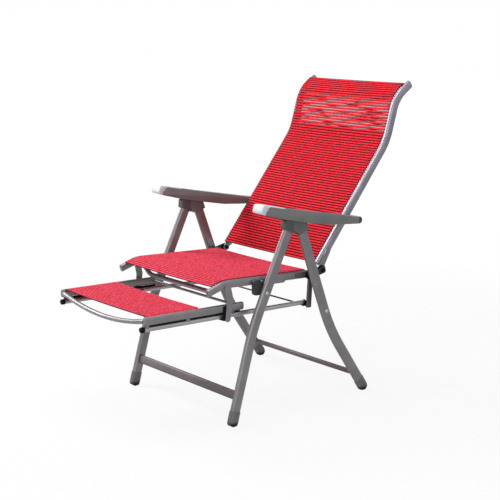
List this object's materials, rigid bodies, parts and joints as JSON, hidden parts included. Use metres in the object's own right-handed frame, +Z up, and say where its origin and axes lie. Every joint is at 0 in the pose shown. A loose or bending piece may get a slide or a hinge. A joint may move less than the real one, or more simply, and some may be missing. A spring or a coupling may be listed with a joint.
{
  "type": "folding recliner",
  "caption": "Folding recliner with bent metal legs, a leaning back, hollow armrests, ribbed mesh slings and a footrest that slides under the seat.",
  "frame": {"origin": "on the floor in the middle of the chair, under the hinges where the leg frames meet", "axes": "+Z up, the chair faces -Y, the sitter's left is +X"},
  "size_m": [0.597, 1.1481, 1.0617],
  "materials": {
    "silver_paint": "satin silver-grey paint on tube",
    "plated_steel": "zinc plated",
    "moulded_plastic": "fine matt moulding",
    "black_plastic": "matt black",
    "rubber": "matt",
    "mesh_fabric": "ribbed open mesh",
    "arm_plastic": "fine matt moulding",
    "pale_plastic": "satin silver"
  },
  "bodies": {
    "rear_frame": {"rear_leg_left": "silver_paint", "rear_leg_right": "silver_paint", "rear_foot_left": "rubber", "rear_foot_right": "rubber", "rear_knuckle_left": "moulded_plastic", "rear_knuckle_right": "moulded_plastic", "knuckle_pin_left": "plated_steel", "knuckle_pin_right": "plated_steel", "hinge_plate_left": "plated_steel", "hinge_plate_right": "plated_steel", "hinge_bracket_left": "moulded_plastic", "hinge_bracket_right": "moulded_plastic", "back_bolt_left": "black_plastic", "back_bolt_right": "black_plastic", "rear_crossbar": "silver_paint"},
    "front_frame": {"front_leg_left": "silver_paint", "front_leg_right": "silver_paint", "front_foot_left": "rubber", "front_foot_right": "rubber", "front_knuckle_left": "moulded_plastic", "front_knuckle_right": "moulded_plastic", "seat_saddle_left": "moulded_plastic", "seat_saddle_right": "moulded_plastic", "front_crossbar": "silver_paint"},
    "seat": {"seat_rail_left": "silver_paint", "seat_rail_right": "silver_paint", "front_hanger_left": "silver_paint", "front_hanger_right": "silver_paint", "rear_hanger_left": "silver_paint", "rear_hanger_right": "silver_paint", "front_guide_left": "black_plastic", "front_guide_right": "black_plastic", "rear_guide_left": "black_plastic", "rear_guide_right": "black_plastic", "seat_front_bar": "silver_paint", "seat_sling": "mesh_fabric", "hanger_rod": "plated_steel"},
    "footrest": {"footrest_rail_left": "silver_paint", "footrest_rail_right": "silver_paint", "slide_tube_left": "silver_paint", "slide_tube_right": "silver_paint", "footrest_bow": "silver_paint", "footrest_rear_bar": "silver_paint", "footrest_sling": "mesh_fabric"},
    "back": {"back_tube_left": "silver_paint", "back_tube_right": "silver_paint", "back_plate_left": "silver_paint", "back_plate_right": "silver_paint", "armrest_pin_left": "plated_steel", "armrest_pin_right": "plated_steel", "back_top_bar": "silver_paint", "back_sling": "mesh_fabric"},
    "armrest_left": {"armrest_left": "arm_plastic", "armrest_cap_left": "pale_plastic", "arm_rack_left": "plated_steel"},
    "armrest_right": {"armrest_right": "arm_plastic", "armrest_cap_right": "pale_plastic", "arm_rack_right": "plated_steel"}
  },
  "joints": [
    {"name": "leg_fold", "type": "hinge", "parent": "rear_frame", "child": "front_frame", "pos_m": [0, 0, 0.616], "axis": [1, 0, 0], "range_deg": [0, 34]},
    {"name": "seat_tilt", "type": "hinge", "parent": "rear_frame", "child": "seat", "pos_m": [0, 0.1, 0.443], "axis": [1, 0, 0], "range_deg": [-53.1, 0.1]},
    {"name": "footrest_slide", "type": "slide", "parent": "seat", "child": "footrest", "axis": [0, 0.9996, -0.0286], "range_m": [0, 0.265]},
    {"name": "recline", "type": "hinge", "parent": "rear_frame", "child": "back", "pos_m": [0, 0.1336, 0.45], "axis": [1, 0, 0], "range_deg": [-22, 10]},
    {"name": "armrest_left_tilt", "type": "hinge", "parent": "back", "child": "armrest_left", "pos_m": [0, 0.251, 0.607], "axis": [1, 0, 0], "range_deg": [-5.6, 12.3]},
    {"name": "armrest_right_tilt", "type": "hinge", "parent": "back", "child": "armrest_right", "pos_m": [0, 0.251, 0.607], "axis": [1, 0, 0], "range_deg": [-5.6, 12.3]}
  ],
  "couplings": [
    {"joint": "seat_tilt", "follows": "leg_fold", "ratio": -1.558},
    {"joint": "armrest_left_tilt", "follows": "recline", "ratio": -0.555},
    {"joint": "armrest_right_tilt", "follows": "recline", "ratio": -0.555}
  ]
}
